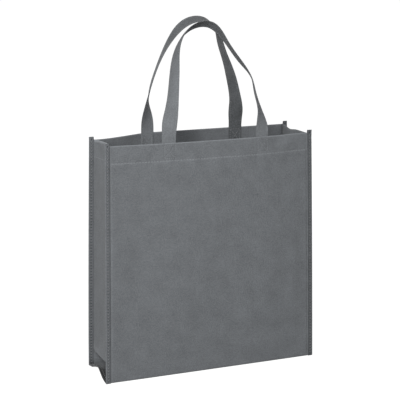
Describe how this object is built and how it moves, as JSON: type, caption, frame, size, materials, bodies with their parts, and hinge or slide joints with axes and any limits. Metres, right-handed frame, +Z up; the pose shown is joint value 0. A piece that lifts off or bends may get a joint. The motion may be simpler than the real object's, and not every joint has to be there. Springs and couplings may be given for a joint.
{
  "type": "non-woven tote bag",
  "caption": "Upright cloth tote bag with bound side gussets, a flat base, a hemmed rim and two sewn strap handles that swing outwards; the body folds flat.",
  "frame": {"origin": "middle of the base, on the surface that the bag stands on", "axes": "+Z up, +X to the right along the bag's width, -Y out of the front panel"},
  "size_m": [0.3902, 0.1018, 0.5991],
  "materials": {
    "cloth": "matt grey spunbond non-woven polypropylene",
    "strap": "matt grey folded and stitched non-woven strap",
    "binding_tape": "matt grey folded binding tape",
    "thread": "matt grey polyester sewing thread"
  },
  "bodies": {
    "front_side": {"bottom_panel": "cloth", "front_panel": "cloth", "front_hem": "cloth", "front_hem_stitching": "thread", "left_gusset": "cloth", "left_gusset_hem": "cloth", "left_gusset_hem_stitching": "thread", "left_bottom_binding": "binding_tape", "left_bottom_binding_stitching": "thread", "right_gusset": "cloth", "right_gusset_hem": "cloth", "right_gusset_hem_stitching": "thread", "right_bottom_binding": "binding_tape", "right_bottom_binding_stitching": "thread", "front_left_binding": "binding_tape", "front_left_binding_stitching": "thread", "front_left_handle_end": "strap", "front_left_handle_end_stitching": "thread", "front_right_binding": "binding_tape", "front_right_binding_stitching": "thread", "front_right_handle_end": "strap", "front_right_handle_end_stitching": "thread"},
    "back_side": {"back_panel": "cloth", "back_hem": "cloth", "back_hem_stitching": "thread", "back_left_binding": "binding_tape", "back_left_binding_stitching": "thread", "back_left_handle_end": "strap", "back_left_handle_end_stitching": "thread", "back_right_binding": "binding_tape", "back_right_binding_stitching": "thread", "back_right_handle_end": "strap", "back_right_handle_end_stitching": "thread"},
    "front_loop": {"front_handle": "strap"},
    "back_loop": {"back_handle": "strap"}
  },
  "joints": [
    {"name": "flatten", "type": "slide", "parent": "front_side", "child": "back_side", "axis": [0, -1, 0], "range_m": [0, 0.09], "deforming": ["bottom_panel", "left_gusset", "left_gusset_hem", "left_gusset_hem_stitching", "left_bottom_binding", "left_bottom_binding_stitching", "right_gusset", "right_gusset_hem", "right_gusset_hem_stitching", "right_bottom_binding", "right_bottom_binding_stitching", "front_handle", "back_handle"]},
    {"name": "front_handle_swing", "type": "hinge", "parent": "front_side", "child": "front_loop", "pos_m": [0, -0.0492, 0.405], "axis": [1, 0, 0], "range_deg": [0, 175]},
    {"name": "back_handle_swing", "type": "hinge", "parent": "back_side", "child": "back_loop", "pos_m": [0, 0.0492, 0.405], "axis": [1, 0, 0], "range_deg": [-175, 0]}
  ]
}
